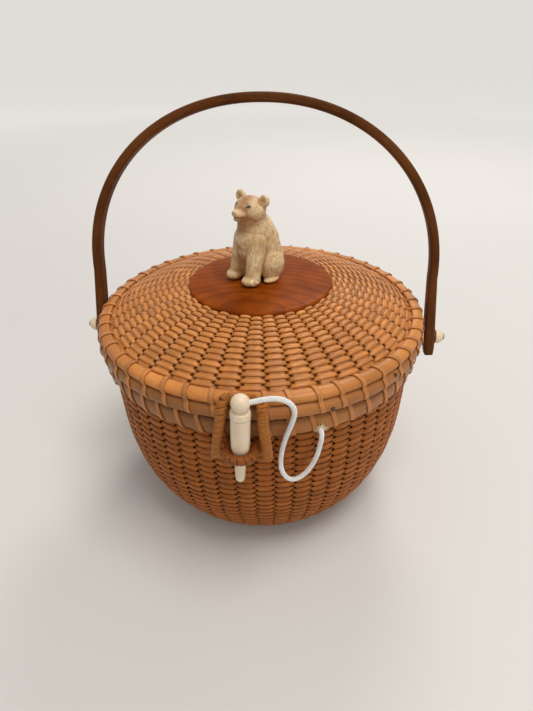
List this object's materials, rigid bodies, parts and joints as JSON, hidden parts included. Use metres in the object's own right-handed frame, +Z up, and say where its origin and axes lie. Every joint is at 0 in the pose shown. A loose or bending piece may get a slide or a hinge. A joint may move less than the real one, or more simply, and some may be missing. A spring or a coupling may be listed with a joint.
{
  "type": "nantucket basket",
  "caption": "Round covered cane basket with a turned wooden base, a bent wooden swing handle, a hinged domed lid with a carved seated bear, and a peg-and-hasp clasp on a cord.",
  "frame": {"origin": "centre of the underside of the turned base board", "axes": "+Z up, -Y towards the clasp at the front, +X to the right as the clasp is faced"},
  "size_m": [0.232, 0.2198, 0.2483],
  "materials": {
    "cherry": "satin",
    "body_cane": "satin",
    "lid_cane": "satin",
    "hoop_wood": "satin",
    "lashing_cane": "gloss",
    "walnut": "satin",
    "ivory": "satin",
    "bone": "satin",
    "brass": "satin",
    "strap_leather": "matt",
    "cord_cotton": "matt"
  },
  "bodies": {
    "basket": {"base_board": "cherry", "basket_wall": "body_cane", "basket_outer_hoop": "hoop_wood", "basket_inner_hoop": "hoop_wood", "basket_rim_lashing": "lashing_cane", "clasp_ring_core": "hoop_wood", "clasp_ring_wrap": "lashing_cane", "hinge_strap_basket_left": "strap_leather", "hinge_strap_basket_right": "strap_leather", "hinge_rod_left": "brass", "hinge_rod_right": "brass", "peg_cord": "cord_cotton"},
    "lid": {"lid_dome": "lid_cane", "lid_outer_hoop": "hoop_wood", "lid_inner_hoop": "hoop_wood", "lid_rim_lashing": "lashing_cane", "lid_top_plate": "cherry", "bear_screw": "brass", "carved_bear": "bone", "hinge_strap_lid_left": "strap_leather", "hinge_strap_lid_right": "strap_leather", "lid_hoop_nail_1": "brass", "lid_hoop_nail_2": "brass"},
    "hasp": {"hasp_core": "hoop_wood", "hasp_wrap": "lashing_cane"},
    "peg": {"clasp_peg": "ivory"},
    "pivots": {"pivot_rivet_left": "brass", "pivot_rivet_right": "brass", "handle_knob_left": "ivory", "handle_knob_right": "ivory", "handle_washer_left": "ivory", "handle_washer_right": "ivory"},
    "handle": {"handle": "walnut"}
  },
  "joints": [
    {"name": "lid_open", "type": "hinge", "parent": "basket", "child": "lid", "pos_m": [0, 0.1022, 0.11895], "axis": [-1, 0, 0], "range_deg": [0, 100]},
    {"name": "hasp_swing", "type": "hinge", "parent": "lid", "child": "hasp", "pos_m": [0.0007, -0.0992, 0.1342], "axis": [-1, 0, 0], "range_deg": [0, 45]},
    {"name": "peg_slide", "type": "slide", "parent": "basket", "child": "peg", "axis": [0.0436, 0, 0.999], "range_m": [0, 0.03]},
    {"name": "pin_turn", "type": "hinge", "parent": "basket", "child": "pivots", "pos_m": [0, 0, 0.112], "axis": [-1, 0, 0], "range_deg": [0, 120]},
    {"name": "handle_swing", "type": "hinge", "parent": "pivots", "child": "handle", "pos_m": [0, 0, 0.112], "axis": [-1, 0, 0], "range_deg": [-90, 90]}
  ],
  "couplings": [
    {"joint": "pin_turn", "follows": "lid_open", "ratio": 1.2}
  ]
}
